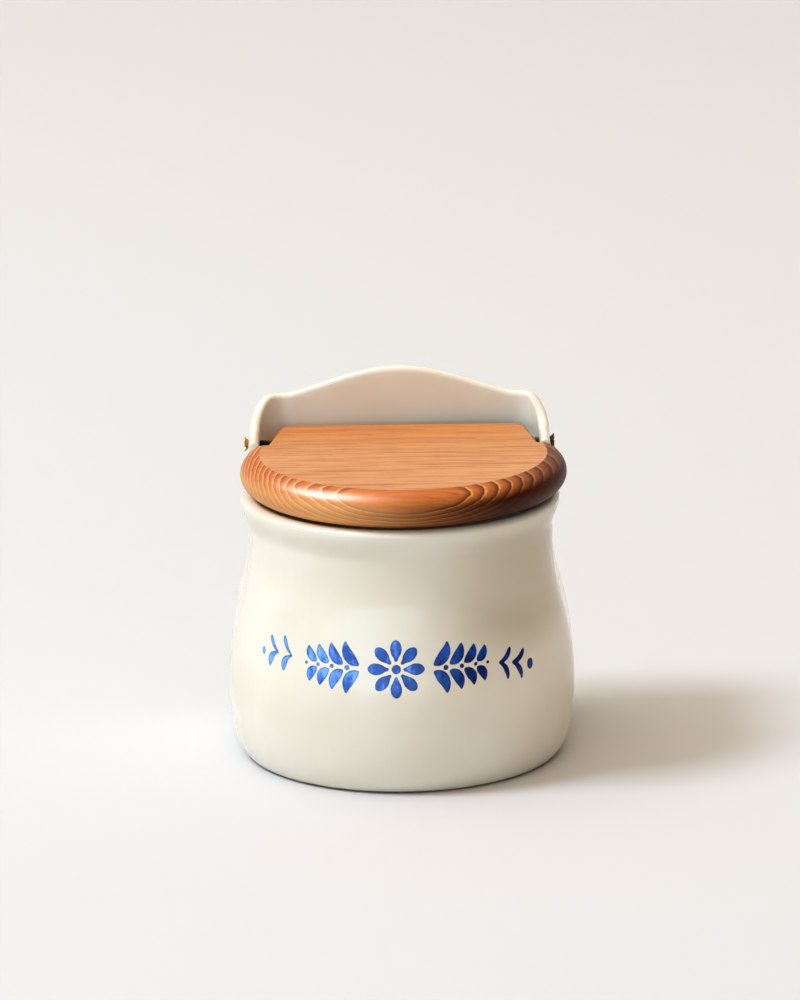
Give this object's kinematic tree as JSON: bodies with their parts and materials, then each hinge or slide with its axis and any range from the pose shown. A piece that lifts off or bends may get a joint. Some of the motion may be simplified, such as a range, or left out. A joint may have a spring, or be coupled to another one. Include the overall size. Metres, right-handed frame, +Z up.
{
  "type": "salt box with hinged lid",
  "caption": "Glazed stoneware salt box with a round belly, flat back, arched backboard and a wooden lid that swings up on screws through its cheeks.",
  "frame": {"origin": "centre of the foot: on the surface the crock stands on, midway between the belly's front and the flat back", "axes": "+Z up, -Y is the front that the lid opens from, +X is the viewer's right when facing the front"},
  "size_m": [0.1416, 0.1288, 0.1474],
  "materials": {
    "glaze": "glossy cream glaze",
    "lid_wood": "satin, warm brown",
    "screw_brass": "plain brass"
  },
  "bodies": {
    "crock": {"crock_body": "glaze"},
    "lid": {"wood_lid": "lid_wood", "hinge_screw_left": "screw_brass", "hinge_screw_right": "screw_brass"}
  },
  "joints": [
    {"name": "lid_hinge", "type": "hinge", "parent": "crock", "child": "lid", "pos_m": [0, 0.0484, 0.118], "axis": [-1, 0, 0], "range_deg": [0, 94]}
  ]
}
